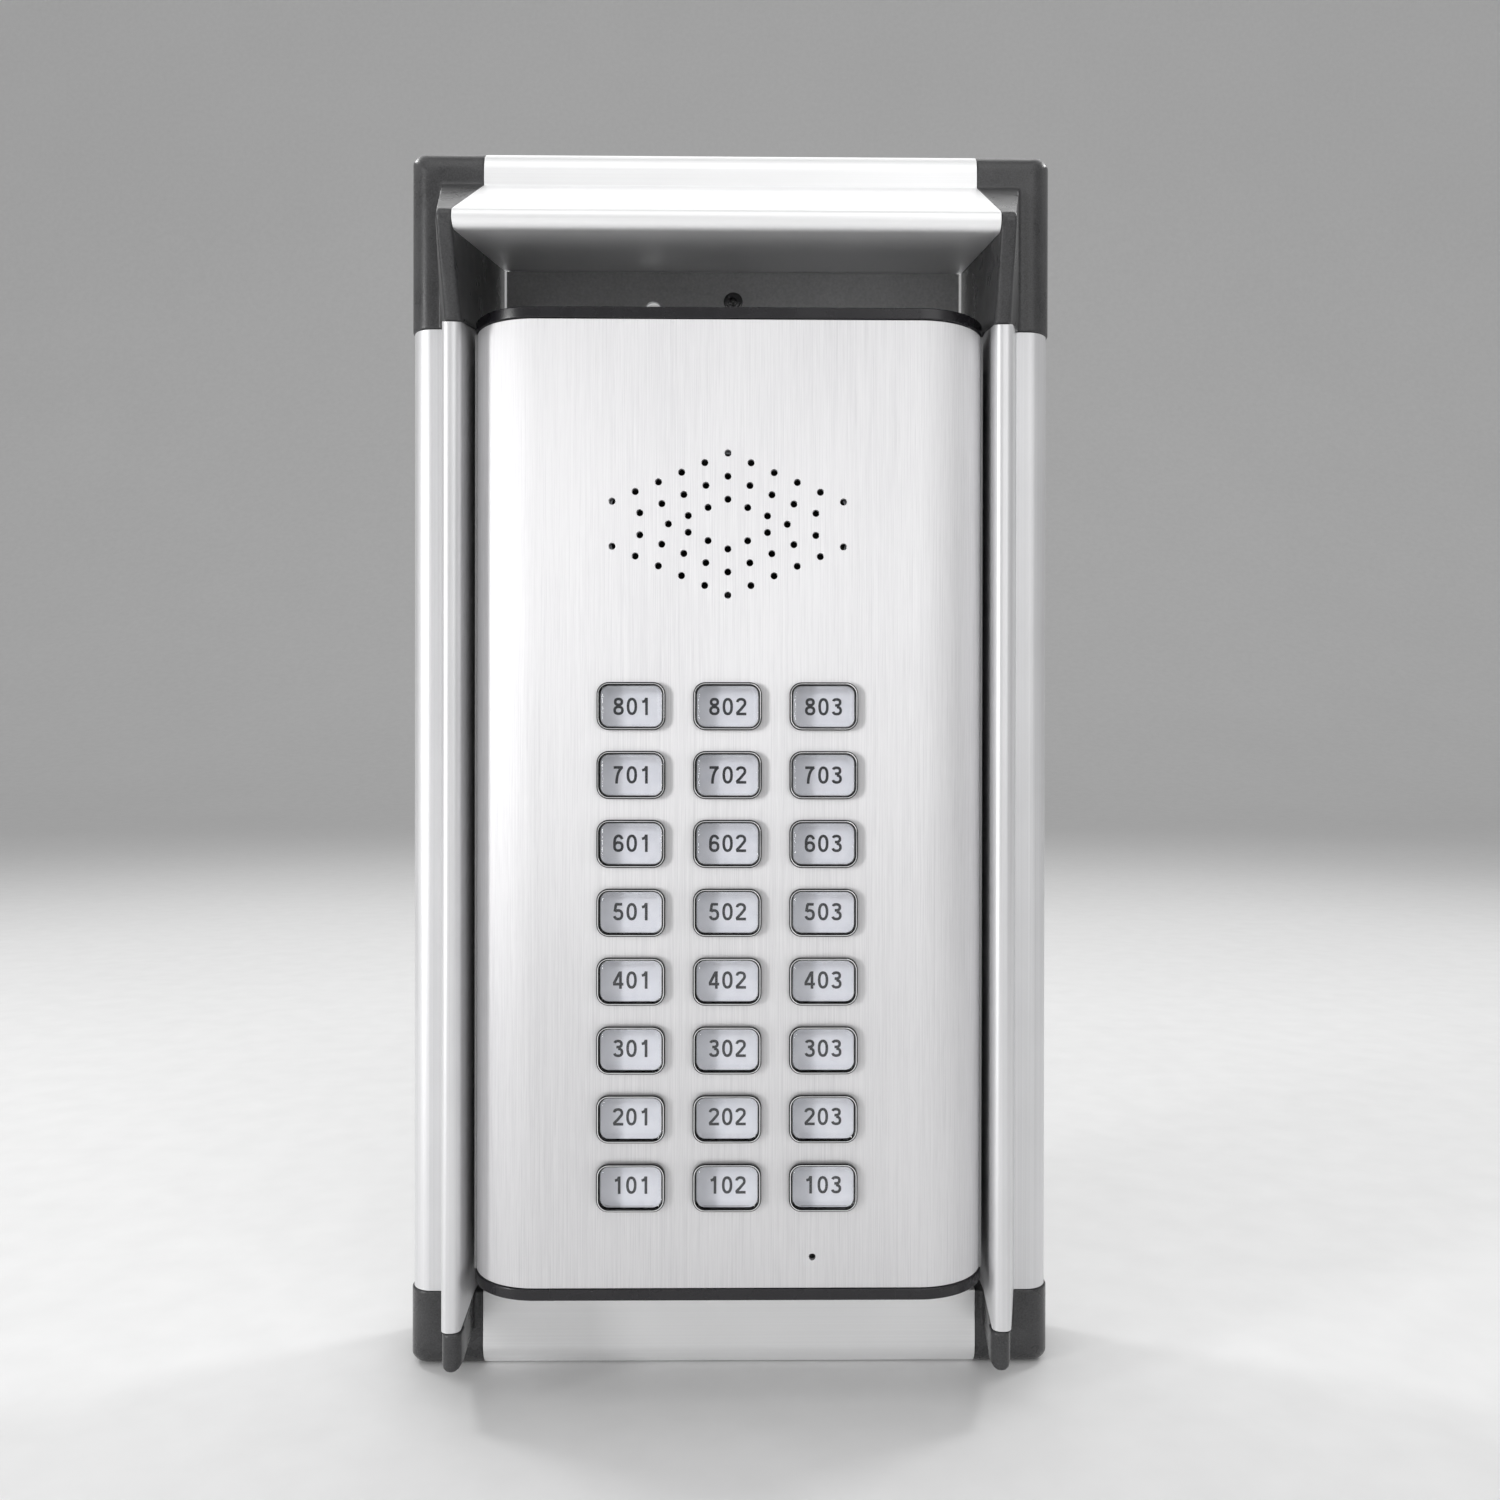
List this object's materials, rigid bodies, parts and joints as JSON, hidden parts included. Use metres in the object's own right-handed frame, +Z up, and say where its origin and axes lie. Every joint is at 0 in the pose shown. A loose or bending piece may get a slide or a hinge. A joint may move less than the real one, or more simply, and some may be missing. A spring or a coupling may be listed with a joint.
{
  "type": "door intercom panel",
  "caption": "Door intercom panel: a curved brushed faceplate with speaker grille, microphone hole and numbered push keys, in a rain hood of rails and moulded corners.",
  "frame": {"origin": "centre of the hood's flat wall face", "axes": "+Z up along the hood's height, +Y into the wall, the front faces -Y, +X to the right seen from the front"},
  "size_m": [0.2026, 0.075, 0.3836],
  "materials": {
    "rail_aluminium": "satin anodised",
    "corner_plastic": "moulded, semi-gloss",
    "back_plate": "satin dark grey paint",
    "steel_fixings": "zinc plated",
    "faceplate_brushed": "brushed along its length",
    "cap_plastic": "moulded, satin",
    "housing_plastic": "moulded, matt",
    "bezel_chrome": "polished",
    "key_clear": "clear, polished",
    "inner_plastic": "moulded",
    "board_green": "solder mask",
    "component_black": "moulded",
    "capacitor_sleeve": "shrink sleeve",
    "terminal_green": "moulded",
    "seal_rubber": "matt",
    "basket_steel": "pressed",
    "cone_paper": "coated",
    "magnet_iron": "sintered",
    "capsule_aluminium": "drawn",
    "ribbon_sleeve": "flat sleeve"
  },
  "bodies": {
    "base": {"hood_top_rail": "rail_aluminium", "hood_bottom_rail": "rail_aluminium", "hood_side_rail_left": "rail_aluminium", "hood_side_rail_right": "rail_aluminium", "hood_corner_top_left": "corner_plastic", "hood_corner_top_right": "corner_plastic", "hood_corner_bottom_left": "corner_plastic", "hood_corner_bottom_right": "corner_plastic", "hood_back_plate": "back_plate", "hood_corner_screws": "steel_fixings", "hood_rivets": "steel_fixings", "station_faceplate": "faceplate_brushed", "station_end_cap_top": "cap_plastic", "station_end_cap_bottom": "cap_plastic", "station_housing": "housing_plastic", "end_cap_screws": "steel_fixings", "station_fixing_screws": "steel_fixings", "key_bezels": "bezel_chrome", "key_guide": "inner_plastic", "keypad_board": "board_green", "key_switches": "component_black", "speaker_gasket": "seal_rubber", "speaker_basket": "basket_steel", "speaker_cone": "cone_paper", "speaker_magnet": "magnet_iron", "speaker_mount": "inner_plastic", "microphone": "capsule_aluminium", "microphone_boot": "seal_rubber", "main_board": "board_green", "main_board_screws": "steel_fixings", "amplifier_chip": "component_black", "capacitors": "capacitor_sleeve", "terminal_block": "terminal_green", "ribbon_cable": "ribbon_sleeve", "ribbon_headers": "component_black", "cable_grommet": "seal_rubber"},
    "key_101": {"key_101": "key_clear"},
    "key_102": {"key_102": "key_clear"},
    "key_103": {"key_103": "key_clear"},
    "key_201": {"key_201": "key_clear"},
    "key_202": {"key_202": "key_clear"},
    "key_203": {"key_203": "key_clear"},
    "key_301": {"key_301": "key_clear"},
    "key_302": {"key_302": "key_clear"},
    "key_303": {"key_303": "key_clear"},
    "key_401": {"key_401": "key_clear"},
    "key_402": {"key_402": "key_clear"},
    "key_403": {"key_403": "key_clear"},
    "key_501": {"key_501": "key_clear"},
    "key_502": {"key_502": "key_clear"},
    "key_503": {"key_503": "key_clear"},
    "key_601": {"key_601": "key_clear"},
    "key_602": {"key_602": "key_clear"},
    "key_603": {"key_603": "key_clear"},
    "key_701": {"key_701": "key_clear"},
    "key_702": {"key_702": "key_clear"},
    "key_703": {"key_703": "key_clear"},
    "key_801": {"key_801": "key_clear"},
    "key_802": {"key_802": "key_clear"},
    "key_803": {"key_803": "key_clear"}
  },
  "joints": [
    {"name": "press_101", "type": "slide", "parent": "base", "child": "key_101", "axis": [0, 1, 0], "range_m": [0, 0.0015], "stiffness_N_per_m": 600, "springref_m": -0.001},
    {"name": "press_102", "type": "slide", "parent": "base", "child": "key_102", "axis": [0, 1, 0], "range_m": [0, 0.0015], "stiffness_N_per_m": 600, "springref_m": -0.001},
    {"name": "press_103", "type": "slide", "parent": "base", "child": "key_103", "axis": [0, 1, 0], "range_m": [0, 0.0015], "stiffness_N_per_m": 600, "springref_m": -0.001},
    {"name": "press_201", "type": "slide", "parent": "base", "child": "key_201", "axis": [0, 1, 0], "range_m": [0, 0.0015], "stiffness_N_per_m": 600, "springref_m": -0.001},
    {"name": "press_202", "type": "slide", "parent": "base", "child": "key_202", "axis": [0, 1, 0], "range_m": [0, 0.0015], "stiffness_N_per_m": 600, "springref_m": -0.001},
    {"name": "press_203", "type": "slide", "parent": "base", "child": "key_203", "axis": [0, 1, 0], "range_m": [0, 0.0015], "stiffness_N_per_m": 600, "springref_m": -0.001},
    {"name": "press_301", "type": "slide", "parent": "base", "child": "key_301", "axis": [0, 1, 0], "range_m": [0, 0.0015], "stiffness_N_per_m": 600, "springref_m": -0.001},
    {"name": "press_302", "type": "slide", "parent": "base", "child": "key_302", "axis": [0, 1, 0], "range_m": [0, 0.0015], "stiffness_N_per_m": 600, "springref_m": -0.001},
    {"name": "press_303", "type": "slide", "parent": "base", "child": "key_303", "axis": [0, 1, 0], "range_m": [0, 0.0015], "stiffness_N_per_m": 600, "springref_m": -0.001},
    {"name": "press_401", "type": "slide", "parent": "base", "child": "key_401", "axis": [0, 1, 0], "range_m": [0, 0.0015], "stiffness_N_per_m": 600, "springref_m": -0.001},
    {"name": "press_402", "type": "slide", "parent": "base", "child": "key_402", "axis": [0, 1, 0], "range_m": [0, 0.0015], "stiffness_N_per_m": 600, "springref_m": -0.001},
    {"name": "press_403", "type": "slide", "parent": "base", "child": "key_403", "axis": [0, 1, 0], "range_m": [0, 0.0015], "stiffness_N_per_m": 600, "springref_m": -0.001},
    {"name": "press_501", "type": "slide", "parent": "base", "child": "key_501", "axis": [0, 1, 0], "range_m": [0, 0.0015], "stiffness_N_per_m": 600, "springref_m": -0.001},
    {"name": "press_502", "type": "slide", "parent": "base", "child": "key_502", "axis": [0, 1, 0], "range_m": [0, 0.0015], "stiffness_N_per_m": 600, "springref_m": -0.001},
    {"name": "press_503", "type": "slide", "parent": "base", "child": "key_503", "axis": [0, 1, 0], "range_m": [0, 0.0015], "stiffness_N_per_m": 600, "springref_m": -0.001},
    {"name": "press_601", "type": "slide", "parent": "base", "child": "key_601", "axis": [0, 1, 0], "range_m": [0, 0.0015], "stiffness_N_per_m": 600, "springref_m": -0.001},
    {"name": "press_602", "type": "slide", "parent": "base", "child": "key_602", "axis": [0, 1, 0], "range_m": [0, 0.0015], "stiffness_N_per_m": 600, "springref_m": -0.001},
    {"name": "press_603", "type": "slide", "parent": "base", "child": "key_603", "axis": [0, 1, 0], "range_m": [0, 0.0015], "stiffness_N_per_m": 600, "springref_m": -0.001},
    {"name": "press_701", "type": "slide", "parent": "base", "child": "key_701", "axis": [0, 1, 0], "range_m": [0, 0.0015], "stiffness_N_per_m": 600, "springref_m": -0.001},
    {"name": "press_702", "type": "slide", "parent": "base", "child": "key_702", "axis": [0, 1, 0], "range_m": [0, 0.0015], "stiffness_N_per_m": 600, "springref_m": -0.001},
    {"name": "press_703", "type": "slide", "parent": "base", "child": "key_703", "axis": [0, 1, 0], "range_m": [0, 0.0015], "stiffness_N_per_m": 600, "springref_m": -0.001},
    {"name": "press_801", "type": "slide", "parent": "base", "child": "key_801", "axis": [0, 1, 0], "range_m": [0, 0.0015], "stiffness_N_per_m": 600, "springref_m": -0.001},
    {"name": "press_802", "type": "slide", "parent": "base", "child": "key_802", "axis": [0, 1, 0], "range_m": [0, 0.0015], "stiffness_N_per_m": 600, "springref_m": -0.001},
    {"name": "press_803", "type": "slide", "parent": "base", "child": "key_803", "axis": [0, 1, 0], "range_m": [0, 0.0015], "stiffness_N_per_m": 600, "springref_m": -0.001}
  ]
}
